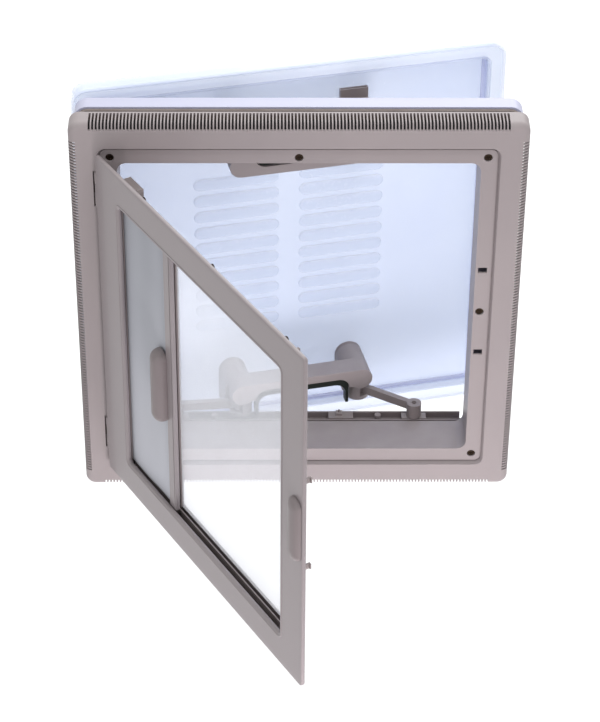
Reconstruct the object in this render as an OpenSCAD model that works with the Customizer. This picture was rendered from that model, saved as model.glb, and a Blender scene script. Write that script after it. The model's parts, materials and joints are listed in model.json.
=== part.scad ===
// Roof hatch for a caravan, standing upright as if fitted in a wall.
// X runs to the right, Y away from the room, Z up. The origin is the centre of the
// door recess, on the room face of the inner frame.

/* [Inner frame] */
// Side of the square inner frame, outside
frame_w = 457; // [430:1:520]
// Depth of the frame's rim
frame_d = 25; // [20:1:34]
// Radius of the rim between the face and its side
rim_r = 7; // [5:0.5:9]
// Wall of every moulding of the frame
wall = 2.5; // [2:0.1:3.5]
// Side of the square recess that takes the door
recess_w = 401; // [380:1:416]
// Depth of the recess below the face
recess_d = 4; // [3:0.5:6]
// Side of the square clear opening
opening_w = 363; // [340:1:368]
// Depth of the collar through the roof, from the recess floor
collar_d = 50; // [45:1:60]
// Pitch of the vent slots
slot_pitch = 3.45; // [3:0.05:5]
// Number of vent slots on each side
slot_count = 121; // [60:1:122]

/* [Outer frame] */
// Room between the inner frame's rim and the outer frame, filled by the roof
roof_t = 15; // [12:1:22]
// Side of the outer frame's flange
flange_w = 450; // [425:1:512]
// Height of the flange's skirt
flange_d = 18; // [14:1:22]
// Height of the upstand above the skirt
upstand_rise = 14; // [12:1:18]

/* [Dome] */
// Angle by which the dome stands open
dome_open = 13; // [0:1:13]
// Side of the dome at its rim
dome_w = 458; // [450:1:530]
// Height of the dome
dome_h = 32; // [28:1:60]
// Side of the flat inner pane
pane_w = 427; // [410:1:440]
// Rows of stiffening ribs on the pane
rib_rows = 10; // [6:1:12]

/* [Stay bars] */
// Distance between the two arm pivots of a stay bar
pivot_span = 132; // [120:1:150]
// Length of an arm between its pins
arm_len = 71; // [68:0.5:76]
// Radius of a leg of the stay bar
leg_r = 12.5; // [11:0.5:15]
// Radius of the round shoulder of the stay bar
hub_r = 15; // [13:0.5:17]
// Radius of the pivot pins
pin_r = 2.5; // [2:0.1:3.2]
// Room between a pin and its bore
pin_gap = 0.06; // [0.02:0.01:0.1]

/* [Door] */
// Angle by which the door stands open
door_open = 59; // [0:1:100]
// Side of the square door
door_w = 395; // [376:1:396]
// Thickness of the door's front plate
door_t = 4.5; // [4:0.5:6]
// Width of the stile on the hinge side
hinge_stile = 46; // [44:1:56]
// Width of the stile on the free side
free_stile = 41; // [38:1:48]
// Width of the top and bottom rails
door_rail = 37; // [33:1:44]
// Length of the handle grips
grip_l = 89; // [80:1:110]

/* [Hidden] */
$fn = 48;
e = 0.01;

// Inner frame
face_t = 3;
half_f = frame_w / 2;
half_o = opening_w / 2;
floor_t = 2.5;
floor_y = recess_d;
collar_end = floor_y + collar_d;
bevel = 2;
recess_r = 9;
groove_w = 1.3;
groove_d = 1.5;
opening_r = 10;
corner_r = 11;
strip_half = half_f - corner_r;
slot_w = slot_pitch * 0.6;
spine = 2.5;
screw_at = half_o + 6.5;
screw_hole_r = 2.1;
screw_head_r = 3.9;
sink_r = 4.4;
boss_r = 5.5;
latch_at = door_w / 2 - 7.5;
latch_z = 52;
latch_slot = [9.1, 6.6];
latch_slot_x = latch_at - 1.25;

// Outer frame
flange_y = frame_d + roof_t;
skirt_end = flange_y + flange_d;
upstand_end = skirt_end + upstand_rise;
collar_gap = 1;
half_in = half_o + wall + collar_gap;
half_up = half_o + 16.5;
half_fl = flange_w / 2;

// Rails for the feet
rail_y = collar_end + 8;
rail_half_d = 8;
rail_wall = 2;
rail_top = half_o;
rail_depth = 10;
rail_half_l = half_o - 2;

// Dome
dome_x = -half_fl;
dome_y = skirt_end + 4;
skirt_gap = 1;
rim_y = dome_y + skirt_gap;
seal_t = 3;
seal_gap = 0.4;
pane_y = upstand_end + seal_t + seal_gap;
pane_t = 2.5;
rib_pitch = 20.2;
rib_l = 91;
rib_w = 14;
rib_h = 1.2;
rib_x = 57;
crown_y = rim_y + dome_h;
crown_in = 5;
shell_t = 3;
dome_r = 16;
rim_ring_t = 4;
rim_clear = 0.3 + crown_in * (rim_ring_t + 2) / (dome_h - shell_t);

// Stay bars, with the dome shut
pivot_x = pivot_span / 2;
bar_x = 2;
pivot_y = dome_y - 30.5;
bar_front = pivot_y - 17;
bar_top = rail_top - 47.5;
bar_back = pivot_y + 6;
bar_low = rail_top - 38;
bar_wall = 3;
hub_top = rail_top - 43;
leg_end = rail_top - 3;
arm_h = 10;
arm_t = 6;
arm_gap = 0.6;
arm_z = rail_top - 13;
eye_r = 8;
foot_l = 27;
foot_w = 10.4;
foot_h = 7.5;
pad_t = 4.8;
pad_end = rail_top + 8;
pad_wall = 1.3;
hub_end = pane_y - pad_t;
finger_r = 12;
liner_t = 3.6;
liner_h = 9;
liner_d = 10;
liner_back = 14.5;

// Places of the pins with the dome as it stands
function turned(p, c, a) = [c[0] + (p[0] - c[0]) * cos(a) - (p[1] - c[1]) * sin(a),
                            c[1] + (p[0] - c[0]) * sin(a) + (p[1] - c[1]) * cos(a)];
pin_right = turned([bar_x + pivot_x, pivot_y], [dome_x, dome_y], dome_open);
pin_left = turned([bar_x - pivot_x, pivot_y], [dome_x, dome_y], dome_open);
arm_right_a = asin((rail_y - pin_right[1]) / arm_len);
arm_left_a = asin((rail_y - pin_left[1]) / arm_len);
foot_right = pin_right[0] + arm_len * cos(arm_right_a);
foot_left = pin_left[0] - arm_len * cos(arm_left_a);

// Door, shut
half_d = door_w / 2;
door_front = -5;
door_back = door_front + door_t;
door_x0 = -half_d;
win_l = door_x0 + hinge_stile;
win_r = half_d - free_stile;
win_h = half_d - door_rail;
hinge_x = -recess_w / 2;
hinge_y = -1;
hinge_z = 154;
hinge_l = 40;
knuckle_r = 3;
knuckle_gap = 0.3;
leaf_t = 1.6;
hinge_pin_r = 1.3;
track_h = 12;
blind_y = door_back + 0.8;
blind_t = 5;
screen_y = blind_y + blind_t + 2;
screen_t = 4;
fabric_t = 0.5;
mesh_t = 0.4;
fabric_y = blind_y + blind_t / 2;
mesh_y = screen_y + screen_t / 2;
blind_x = door_x0 + 127;
blind_w = 13;
screen_x = door_x0 + 126;
screen_w = 12;
bar_half = win_h + 9;
track_back = screen_y + screen_t + 0.4;
cassette_x = door_x0 + 17.5;
cassette_w = 27;
cassette_end = win_h + 11;
cap_t = 3;
cassette_y = door_back + 1;
cassette_d = 25;
roller_r = 7;
roller_x = cassette_x + cassette_w / 2 - 2;
roller_y = cassette_y + cassette_d / 2 + 2;
mesh_roller_r = 4.4;
mesh_roller_x = win_r + 10;
mesh_roller_y = mesh_y - mesh_roller_r;
cover_w = 15;
cover_y = mesh_y + 3;
grip_r = 10;
grip_out = 7;
grip_x = half_d - 11.5;
grip_z = -4;
blind_grip_x = blind_x + 2 - grip_r;
blind_grip_z = -11;
slide_gap = 0.3;
bar_y = door_back + 0.4;
latch_bar_t = 1.6;
hook_end = floor_y + floor_t + 1.8;
spring_l = 30;

// ---- Helpers ----

module block(x0, x1, y0, y1, z0, z1)
    translate([x0, y0, z0]) cube([x1 - x0, y1 - y0, z1 - z0]);

module rounded(w, h, r) {
    square([w - 2 * r, h], center = true);
    square([w, h - 2 * r], center = true);
    for (x = [-1, 1], z = [-1, 1])
        translate([x * (w / 2 - r), z * (h / 2 - r)]) circle(r);
}

// Flat plate facing Y, from y0 to y1
module slab(w, h, r, y0, y1)
    translate([0, y1, 0]) rotate([90, 0, 0]) linear_extrude(y1 - y0) rounded(w, h, r);

// Square ring facing Y
module ring(w, r, hole, hole_r, y0, y1)
    difference() {
        slab(w, w, r, y0, y1);
        slab(hole, hole, hole_r, y0 - 1, y1 + 1);
    }

// Square plate whose sides slope from w at y0 to w - 2 * inset at y1
module tapered(w, r, y0, y1, inset) {
    half = w / 2;
    sides = [[y0, -half], [y0, half], [y1, half - inset], [y1, inset - half]];
    span = w - 2 * r;
    rotate([90, 0, 90]) translate([0, 0, -span / 2]) linear_extrude(span) polygon(sides);
    rotate([0, 0, 90]) translate([0, 0, -span / 2]) linear_extrude(span) polygon(sides);
    for (x = [-1, 1], z = [-1, 1])
        translate([x * (half - r), y0, z * (half - r)]) rotate([-90, 0, 0])
            cylinder(h = y1 - y0, r1 = r, r2 = r - inset);
}

module rod_z(x, y, z0, z1, r) translate([x, y, z0]) cylinder(h = z1 - z0, r = r);
module rod_y(x, z, y0, y1, r) translate([x, y0, z]) rotate([-90, 0, 0]) cylinder(h = y1 - y0, r = r);

// The dome and the door, turned from shut to where they stand
module on_dome() translate([dome_x, dome_y, 0]) rotate([0, 0, dome_open])
    translate([-dome_x, -dome_y, 0]) children();
module on_door() translate([hinge_x, hinge_y, 0]) rotate([0, 0, -door_open])
    translate([-hinge_x, -hinge_y, 0]) children();
module on_bar() on_dome() translate([bar_x, 0, 0]) children();
module upper() mirror([0, 0, 1]) children();
module both() { children(); mirror([0, 0, 1]) children(); }

// ---- Inner frame ----

// Section of the rim, outward along x and back along y, from the face's edge out
module rim_section(at)
    intersection() {
        difference() {
            union() {
                translate([at - rim_r, rim_r]) circle(rim_r);
                translate([at - rim_r - 1, rim_r]) square([rim_r + 1, frame_d - rim_r]);
            }
            translate([at - rim_r, rim_r]) circle(rim_r - wall);
            translate([at - rim_r - 2, rim_r]) square([rim_r + 2 - wall, frame_d]);
        }
        translate([at - rim_r, 0]) square([rim_r, frame_d]);
    }

module screw_places(d = screw_at)
    for (x = [-1, 0, 1], z = [-1, 0, 1])
        if (x != 0 || z != 0) translate([x * d, 0, z * d]) children();

module hinge_places() for (z = [-1, 1]) translate([hinge_x, hinge_y, z * hinge_z]) children();

module inner_frame() color([0.58, 0.54, 0.54]) {
    difference() {
        union() {
            slab(2 * (half_f - rim_r), 2 * (half_f - rim_r), corner_r - rim_r, 0, face_t);
            slab(recess_w + 2 * wall, recess_w + 2 * wall, recess_r + wall, 0, floor_y + floor_t);
            slab(opening_w + 2 * wall, opening_w + 2 * wall, opening_r + wall, 0, collar_end - 2);
            screw_places() rod_y(0, 0, 1, floor_y + 12, boss_r);
        }
        tapered(recess_w, recess_r, -e, floor_y, bevel);
        ring(recess_w - 2 * bevel, recess_r - bevel, recess_w - 2 * (bevel + groove_w),
             recess_r - bevel - groove_w, floor_y - e, floor_y + groove_d);
        slab(opening_w, opening_w, opening_r, 0, collar_end + 1);
        screw_places() {
            rod_y(0, 0, 0, frame_d, screw_hole_r);
            rod_y(0, 0, 0, floor_y + 3.5, sink_r);
        }
        for (z = [-1, 1])
            block(latch_slot_x - latch_slot[0] / 2, latch_slot_x + latch_slot[0] / 2, 0, 12,
                  z * latch_z - latch_slot[1] / 2, z * latch_z + latch_slot[1] / 2);
        hinge_places() block(-knuckle_r - 1.6, knuckle_r + 2, -6, knuckle_r + 2.2,
                             -hinge_l / 2 - 1, hinge_l / 2 + 1);
    }
    for (x = [0, 1], z = [0, 1])
        mirror([x, 0, 0]) mirror([0, 0, z]) translate([strip_half, 0, strip_half])
            rotate([-90, 0, 0]) rotate([0, 0, -90]) rotate_extrude(angle = 90) rim_section(corner_r);
}

// Comb with a back spine and open slots towards the face
module comb() {
    start = -slot_count * slot_pitch / 2;
    land = (slot_pitch - slot_w) / 2;
    notches = [for (i = [0:slot_count - 1], k = [0:3])
        [start + i * slot_pitch + land + (k < 2 ? 0 : slot_w),
         (k == 1 || k == 2) ? frame_d - spine : -1]];
    polygon(concat([[-strip_half, -1]], notches,
                   [[strip_half, -1], [strip_half, frame_d + 1], [-strip_half, frame_d + 1]]));
}

// Slotted rim strip along the top side
module vent_strip()
    intersection() {
        rotate([90, 0, 90]) translate([0, 0, -strip_half]) linear_extrude(2 * strip_half)
            mirror([1, -1, 0]) rim_section(half_f);
        translate([0, 0, half_f - rim_r - 1]) linear_extrude(rim_r + 2) comb();
    }

module vent_grille_top() color([0.6, 0.56, 0.56]) vent_strip();
module vent_grille_bottom() color([0.6, 0.56, 0.56]) mirror([0, 0, 1]) vent_strip();
module vent_grille_right() color([0.6, 0.56, 0.56]) rotate([0, 90, 0]) vent_strip();
module vent_grille_left() color([0.6, 0.56, 0.56]) rotate([0, -90, 0]) vent_strip();

// Black insect gauze standing behind the slots
module vent_gauze() color([0.05, 0.05, 0.06])
    for (a = [0:90:270]) rotate([0, a, 0])
        block(-strip_half + 6, strip_half - 6, face_t + e, frame_d - 1,
              half_f - rim_r - 3, half_f - rim_r - 2);

// ---- Outer frame and rails ----

module outer_frame() color([0.8, 0.8, 0.88]) {
    ring(flange_w, 14, 2 * half_in, opening_r + wall, flange_y, flange_y + wall);
    ring(flange_w, 14, flange_w - 2 * wall, 14 - wall, flange_y, skirt_end);
    ring(2 * half_up + 2 * wall, 14, 2 * half_up, 14 - wall, flange_y, upstand_end);
    difference() {
        ring(2 * half_up + e, 14, 2 * half_in, opening_r + wall, collar_end - 3, collar_end - 1);
        rail_seats();
    }
}

// Room for the rails in the outer frame's shelf
module rail_seats()
    both() block(-rail_half_l - 1, rail_half_l + 1, collar_end - e, rail_y + rail_half_d,
                 -rail_top - rail_depth, -half_in + 4);

module stay_rail()
    color([0.52, 0.47, 0.46]) difference() {
        block(-rail_half_l, rail_half_l, rail_y - rail_half_d, rail_y + rail_half_d,
              -rail_top - rail_depth, -rail_top);
        block(-rail_half_l - 1, rail_half_l + 1, rail_y - rail_half_d + rail_wall,
              rail_y + rail_half_d - rail_wall, -rail_top - rail_depth + rail_wall, -rail_top + 1);
    }
module stay_rail_lower() stay_rail();
module stay_rail_upper() upper() stay_rail();

// Fixed catches that stand in the rails: two round knobs and a middle stop
module rail_catches() color([0.55, 0.5, 0.49]) both() {
    for (x = [-90, 89])
        rod_z(x, rail_y, -rail_top - rail_depth + rail_wall, -rail_top + 1.5, 3.4);
    block(35, 62, rail_y - 5.8, rail_y + 5.8, -rail_top - rail_depth + rail_wall, -rail_top + 1.2);
    block(43, 50, rail_y - 3, rail_y + 3, -rail_top + 1, -rail_top + 5);
    rod_z(46.5, rail_y, -rail_top + 4, -rail_top + 8, 1);
}

module dome_seal() color([0.12, 0.12, 0.13])
    ring(2 * half_up + 2 * wall + 2, 15, 2 * half_up - 2, 12, upstand_end, upstand_end + seal_t);

module frame_screws() color([0.35, 0.3, 0.27]) screw_places() difference() {
    union() {
        rod_y(0, 0, floor_y + 1.4, floor_y + 3.5, screw_head_r);
        rod_y(0, 0, floor_y + 3.5, frame_d - 3, screw_hole_r - 0.05);
    }
    for (a = [0, 90]) rotate([0, a, 0]) block(-2.2, 2.2, 0, floor_y + 2.6, -0.5, 0.5);
}

// ---- Door hinges ----

// One knuckle from z0 to z1
module knuckle(z0, z1)
    difference() {
        union() {
            rod_z(0, 0, z0, z1, knuckle_r);
            children();
        }
        rod_z(0, 0, z0 - 1, z1 + 1, hinge_pin_r + pin_gap);
    }

module hinge_knuckles_fixed() color([0.5, 0.46, 0.46]) hinge_places()
    for (s = [-1, 1]) {
        z0 = s < 0 ? -hinge_l / 2 : hinge_l / 6 + knuckle_gap;
        z1 = z0 + hinge_l / 3 - knuckle_gap;
        knuckle(z0, z1) {
            block(-leaf_t / 2, leaf_t / 2, 0, knuckle_r + 2.2, z0, z1);
            block(-knuckle_r - 1, knuckle_r + 1, knuckle_r + 2.2 - leaf_t, knuckle_r + 2.2, z0, z1);
        }
    }
module hinge_pins() color([0.7, 0.7, 0.72]) hinge_places()
    rod_z(0, 0, -hinge_l / 2, hinge_l / 2, hinge_pin_r);
module hinge_knuckles_door() color([0.58, 0.54, 0.54]) on_door() hinge_places()
    knuckle(-hinge_l / 6, hinge_l / 6)
        block(0, door_x0 - hinge_x + 6, door_back - hinge_y + e, door_back - hinge_y + leaf_t,
              -hinge_l / 6, hinge_l / 6);

// ---- Dome ----

module outer_dome() color([0.86, 0.9, 0.98, 0.6]) on_dome() difference() {
    tapered(dome_w, dome_r, rim_y, crown_y, crown_in);
    tapered(dome_w - 2 * shell_t, dome_r - shell_t, rim_y - e, crown_y - shell_t, crown_in);
}
module dome_rim() color([0.7, 0.68, 0.82]) on_dome()
    ring(dome_w - 2 * (shell_t + rim_clear), dome_r - shell_t - rim_clear, pane_w + 0.4, 10,
         rim_y + 1, rim_y + 1 + rim_ring_t);
module inner_pane() color([0.9, 0.94, 1, 0.5]) on_dome() {
    slab(pane_w, pane_w, 10, pane_y, pane_y + pane_t);
    ring(pane_w, 10, pane_w - 2 * pane_t, 8, rim_y + 1, pane_y + e);
    for (side = [-1, 1], i = [0:rib_rows - 1])
        translate([side * rib_x, 0, (i - (rib_rows - 1) / 2) * rib_pitch])
            slab(rib_l, rib_w, rib_w / 2 - 1, pane_y - rib_h, pane_y + e);
}

// ---- Stay bars, arms and feet ----

// Opening that the fingers reach through, with round upper corners; in_x and in_z shrink it
module finger_hole(in_x, in_z, y0, y1) {
    half = pivot_x - leg_r - 1 - in_x;
    z1 = -bar_low - in_z;
    block(-half, half, y0, y1, -leg_end - 2, z1 - finger_r);
    block(-half + finger_r, half - finger_r, y0, y1, z1 - finger_r - 1, z1);
    for (s = [-1, 1]) rod_y(s * (half - finger_r), z1 - finger_r, y0, y1, finger_r);
}

// Arch-topped column from the leg back to the pane, shrunk by inset
module hub(inset, y0, y1, z0) {
    rod_y(0, -hub_top - hub_r, y0, y1, hub_r - inset);
    block(inset - hub_r, hub_r - inset, y0, y1, z0, -hub_top - hub_r);
}

// Slot in a leg for the arm's eye, open to the outside
module arm_slot(side) {
    z0 = -arm_z - arm_h / 2 - arm_gap;
    z1 = -arm_z + arm_h / 2 + arm_gap;
    rod_z(0, 0, z0, z1, eye_r + arm_gap);
    block(min(0, side * 40), max(0, side * 40), -leg_r - 10, leg_r + 0.1, z0, z1);
}

module stay_bar()
    color([0.6, 0.55, 0.55]) on_bar() difference() {
        union() {
            difference() {
                block(-pivot_x, pivot_x, bar_front, bar_back, -bar_low - finger_r, -bar_top);
                finger_hole(0, 0, bar_front - 1, pivot_y + hub_r);
                block(-pivot_x + leg_r + 4, pivot_x - leg_r - 4, bar_front + bar_wall, pivot_y + hub_r,
                      -bar_low - 1, -bar_top - bar_wall);
            }
            for (s = [-1, 1]) translate([s * pivot_x, 0, 0]) {
                rod_z(0, pivot_y, -leg_end, -bar_top - leg_r, leg_r);
                rod_y(0, -bar_top - leg_r, bar_front, bar_back, leg_r - e);
                block(3 - leg_r, leg_r - 3, bar_front + 2, pivot_y, -bar_low - finger_r,
                      -bar_top - leg_r);
                hub(0, pivot_y + leg_r - 5, hub_end, -leg_end + 1);
            }
        }
        for (s = [-1, 1]) translate([s * pivot_x, 0, 0]) {
            hub(bar_wall, pivot_y + leg_r + 1, hub_end - bar_wall, -leg_end - 1);
            translate([0, pivot_y, 0]) {
                rod_z(0, 0, -leg_end + 2, -bar_low + 1, pin_r);
                arm_slot(s);
            }
        }
    }
module stay_bar_lower() stay_bar();
module stay_bar_upper() upper() stay_bar();

// Dark liner round the finger hole, set back from the front of the bar
module stay_bar_liners() color([0.08, 0.12, 0.1]) on_bar() both() difference() {
    finger_hole(0.1, 0.1, pivot_y - liner_back, pivot_y - liner_back + liner_d);
    finger_hole(liner_t, liner_h, pivot_y - hub_r, pivot_y + hub_r);
    block(-pivot_x, pivot_x, pivot_y - hub_r, pivot_y + hub_r, -leg_end - 3, -leg_end + 1);
}
// Socket that holds a column to the pane, open at its outer end
module stay_bar_pads() color([0.3, 0.3, 0.32]) on_bar() both() for (s = [-1, 1])
    translate([s * pivot_x, 0, 0]) difference() {
        hub(0, hub_end + e, pane_y - e, -pad_end);
        block(pad_wall - hub_r, hub_r - pad_wall, hub_end + pad_wall, pane_y - pad_wall,
              -pad_end - 1, -leg_end);
    }
module pivot_pins() color([0.7, 0.7, 0.72]) on_bar() both() for (s = [-1, 1])
    rod_z(s * pivot_x, pivot_y, -leg_end + 2, -bar_low + 1, pin_r - e);

// An arm from its pin in the leg to the round eye over the foot
module arm(from, a, side)
    color([0.6, 0.54, 0.53]) translate([from[0], from[1], -arm_z]) rotate([0, 0, a]) difference() {
        union() {
            rod_z(0, 0, -arm_h / 2, arm_h / 2, eye_r);
            block(min(0, side * arm_len), max(0, side * arm_len), -arm_t / 2, arm_t / 2,
                  -arm_h / 2, arm_h / 2);
            rod_z(side * arm_len, 0, -rail_top + arm_z + 0.5, arm_h / 2, eye_r);
        }
        rod_z(0, 0, -arm_h, arm_h, pin_r + pin_gap);
        rod_z(side * arm_len, 0, -2 * arm_h, 2 * arm_h, pin_r + pin_gap);
    }
module right_arm_lower() arm(pin_right, arm_right_a, 1);
module right_arm_upper() upper() arm(pin_right, arm_right_a, 1);
module left_arm_lower() arm(pin_left, -arm_left_a, -1);
module left_arm_upper() upper() arm(pin_left, -arm_left_a, -1);

// A sliding foot with its upright pin
module foot(x)
    color([0.55, 0.5, 0.48]) translate([x, rail_y, 0]) {
        translate([-foot_l / 2, -foot_w / 2, -rail_top - foot_h]) cube([foot_l, foot_w, foot_h]);
        difference() {
            rod_z(0, 0, -rail_top - 1, -arm_z + arm_h / 2 - 1.5, pin_r);
            rod_z(0, 0, -arm_z, -arm_z + arm_h, pin_r - 1.1);
        }
    }
module right_foot_lower() foot(foot_right);
module right_foot_upper() upper() foot(foot_right);
module left_foot_lower() foot(foot_left);
module left_foot_upper() upper() foot(foot_left);

// ---- Door ----

win_w = win_r - win_l;
win_x = (win_l + win_r) / 2;

module door_front() color([0.6, 0.56, 0.56]) on_door() difference() {
    union() {
        slab(door_w, door_w, 4, door_front, door_back);
        translate([win_x, 0, 0]) slab(win_w + 4, 2 * win_h + 4, 5, door_front, door_back + 0.6);
    }
    translate([win_x, 0, 0]) slab(win_w, 2 * win_h, 3, door_front - 1, door_back + 5);
    translate([grip_x, 0, grip_z]) slab(12, 18, 2, door_front - 1, door_back + 1);
    hinge_places() block(-knuckle_r - 1, knuckle_r + 0.6, -8, 8, -hinge_l / 2 - 1, hinge_l / 2 + 1);
}

// Top and bottom rails behind the front, each with a track for the blind and one for the screen
module door_back_rails() color([0.5, 0.46, 0.46]) on_door() both() difference() {
    block(cassette_x + cassette_w + 0.5, win_r + 2.5, door_back + e, track_back + 1.8,
          win_h + 2 + e, win_h + track_h + 4);
    block(win_l - 3, win_r + 3, blind_y - 0.2, blind_y + blind_t + 0.2, win_h, win_h + track_h);
    block(win_l - 3, win_r + 3, screen_y - 0.2, screen_y + screen_t + 0.2, win_h, win_h + track_h);
}
module door_back_stiles() color([0.5, 0.46, 0.46]) on_door() {
    for (x = [cassette_x + cassette_w + 0.5, win_r - 2.5])
        block(x, x + 3.5, track_back + 1.8 + e, track_back + 4.4, -win_h - 16, win_h + 16);
}
// Cover over the flyscreen's roller, behind the free stile
module screen_cover() color([0.52, 0.48, 0.48]) on_door() difference() {
    block(win_r + 3, win_r + 3 + cover_w, door_back + e, cover_y, -win_h - 14, win_h + 14);
    block(win_r + 4.4, win_r + 1.6 + cover_w, door_back - 1, cover_y - 1.4,
          -win_h - 12.5, win_h + 12.5);
    block(win_r, win_r + 6, mesh_y - 1.2, mesh_y + 1.2, -win_h - 12.5, win_h + 12.5);
    both() rod_z(mesh_roller_x, mesh_roller_y, win_h + 12, win_h + 15, 1.5 + pin_gap);
}

module door_screws() color([0.4, 0.36, 0.34]) on_door() both()
    for (x = [win_l + 20, win_x, win_r - 20])
        difference() {
            rod_y(x, win_h + track_h + 2, track_back + 1.8, track_back + 3.4, 3);
            block(x - 2, x + 2, track_back + 2.6, track_back + 4,
                  win_h + track_h + 1.6, win_h + track_h + 2.4);
        }

module blind_cassette() color([0.55, 0.5, 0.5]) on_door() difference() {
    block(cassette_x, cassette_x + cassette_w, cassette_y, cassette_y + cassette_d,
          cap_t - cassette_end, cassette_end - cap_t);
    block(cassette_x + 1.6, cassette_x + cassette_w - 1.6, cassette_y + 1.6,
          cassette_y + cassette_d - 1.6, -cassette_end, cassette_end);
    block(cassette_x + cassette_w - 3, cassette_x + cassette_w + 1, fabric_y - 1, fabric_y + 1.4,
          -cassette_end, cassette_end);
}
module cassette_caps() color([0.38, 0.34, 0.33]) on_door() both() difference() {
    block(cassette_x, cassette_x + cassette_w, cassette_y, cassette_y + cassette_d,
          cassette_end - cap_t + e, cassette_end);
    rod_z(roller_x, roller_y, win_h, cassette_end + 1, 2 + pin_gap);
}
module blind_roller() color([0.86, 0.88, 0.9]) on_door() difference() {
    union() {
        rod_z(roller_x, roller_y, -win_h - 6, win_h + 6, roller_r);
        rod_z(roller_x, roller_y, 0.4 - cassette_end, cassette_end - 0.4, 2);
    }
    rod_z(roller_x, roller_y, -win_h + 20, -20, 4);
}
module roller_spring() color([0.6, 0.6, 0.62]) on_door() difference() {
    rod_z(roller_x, roller_y, -win_h + 21, -21, 3.7);
    rod_z(roller_x, roller_y, -win_h + 20, -20, 2.7);
}
module screen_roller() color([0.8, 0.82, 0.84]) on_door() {
    rod_z(mesh_roller_x, mesh_roller_y, -win_h - 11, win_h + 11, mesh_roller_r - mesh_t);
    rod_z(mesh_roller_x, mesh_roller_y, -win_h - 14, win_h + 14, 1.5);
}

module pull_bar(x, w, y, t) difference() {
    block(x, x + w, y, y + t, -win_h - 1, win_h + 1);
    block(x + w - 2.4, x + w - 1.4, y - 1, y + 1, -win_h + 4, win_h - 4);
}
module blind_bar() color([0.6, 0.55, 0.55]) on_door() pull_bar(blind_x, blind_w, blind_y, blind_t);
module screen_bar() color([0.56, 0.51, 0.51]) on_door()
    pull_bar(screen_x, screen_w, screen_y, screen_t);
module shoes(x, w, y, t) both()
    block(x, x + w, y + 0.2, y + t - 0.2, win_h + 1 + e, bar_half);
module blind_shoes() color([0.25, 0.25, 0.26]) on_door() shoes(blind_x, blind_w, blind_y, blind_t);
module screen_shoes() color([0.25, 0.25, 0.26]) on_door()
    shoes(screen_x, screen_w, screen_y, screen_t);

module blind_fabric() color([0.75, 0.78, 0.78]) on_door()
    block(cassette_x + cassette_w - 3, blind_x, fabric_y - fabric_t / 2, fabric_y + fabric_t / 2,
          -win_h - 0.5, win_h + 0.5);
module flyscreen() color([0.9, 0.92, 0.95, 0.4]) on_door()
    block(screen_x + screen_w, mesh_roller_x, mesh_y - mesh_t / 2, mesh_y + mesh_t / 2,
          -win_h - 0.5, win_h + 0.5);

// Long pull with round ends, thicker along its middle, standing out from y by out
module pull(x, y, out, base_r)
    intersection() {
        translate([x, 0, 0]) slab(2 * base_r, grip_l, base_r - e, y - out, y);
        translate([x, y + grip_l * 1.15 - out, 0]) rotate([0, 90, 0])
            cylinder(h = 4 * base_r, r = grip_l * 1.15, center = true, $fn = 128);
        translate([x, y + base_r * 1.6 - out, 0])
            cylinder(h = grip_l + 2, r = base_r * 1.6, center = true, $fn = 96);
    }

module door_grip() color([0.6, 0.56, 0.56]) on_door() {
    translate([0, 0, grip_z]) pull(grip_x, door_front - slide_gap, grip_out, grip_r);
    translate([grip_x, 0, grip_z]) slab(4, 14, 1, door_front - slide_gap - e, bar_y);
}
// Latch bar behind the free stile, with a hook at each end
module latch_hooks() color([0.52, 0.48, 0.48]) on_door() {
    block(grip_x - 3, grip_x + 3, bar_y + e, bar_y + latch_bar_t, -latch_z - 3, latch_z + 3);
    for (z = [-1, 1]) translate([0, 0, z * latch_z]) {
        block(grip_x + 2, latch_at + 1, bar_y + e, bar_y + latch_bar_t, -3, 3);
        block(latch_at - 1, latch_at + 1, bar_y + e, hook_end, -3, 3);
        block(latch_at - 1, latch_at + 2.4, hook_end - 1.6, hook_end, -3, 3);
    }
}
module latch_spring() color([0.7, 0.7, 0.72]) on_door() difference() {
    rod_z(grip_x - 4.8, bar_y + 1.6, -spring_l / 2, spring_l / 2, 1.5);
    rod_z(grip_x - 4.8, bar_y + 1.6, -spring_l / 2 - 1, spring_l / 2 + 1, 1);
}
module blind_grip() color([0.6, 0.56, 0.56]) on_door() difference() {
    translate([0, 0, blind_grip_z])
        pull(blind_grip_x, blind_y + 1.6, blind_y + 1.6 - door_front + grip_out, grip_r);
    block(blind_x - e, blind_x + 2 * grip_r, blind_y - e, blind_y + blind_t, -grip_l, grip_l);
}

inner_frame();
vent_grille_top();
vent_grille_bottom();
vent_grille_left();
vent_grille_right();
vent_gauze();
outer_frame();
stay_rail_lower();
stay_rail_upper();
rail_catches();
dome_seal();
frame_screws();
hinge_knuckles_fixed();
hinge_pins();
outer_dome();
dome_rim();
inner_pane();
stay_bar_lower();
stay_bar_upper();
stay_bar_liners();
stay_bar_pads();
pivot_pins();
right_arm_lower();
right_arm_upper();
left_arm_lower();
left_arm_upper();
right_foot_lower();
right_foot_upper();
left_foot_lower();
left_foot_upper();
door_front();
door_back_rails();
door_back_stiles();
hinge_knuckles_door();
door_screws();
blind_cassette();
cassette_caps();
blind_roller();
roller_spring();
screen_roller();
screen_cover();
blind_bar();
blind_shoes();
blind_fabric();
screen_bar();
screen_shoes();
flyscreen();
door_grip();
latch_hooks();
latch_spring();
blind_grip();
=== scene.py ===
"""Looks of a caravan roof hatch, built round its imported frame.

Lengths are in metres, in the frame's own axes: X right, Y out through the roof, Z up.
The door and the dome are drawn shut and then turned to where they stand.
"""

import json
import math

import bmesh
import bpy
import numpy as np
from mathutils import Matrix, Vector


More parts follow.
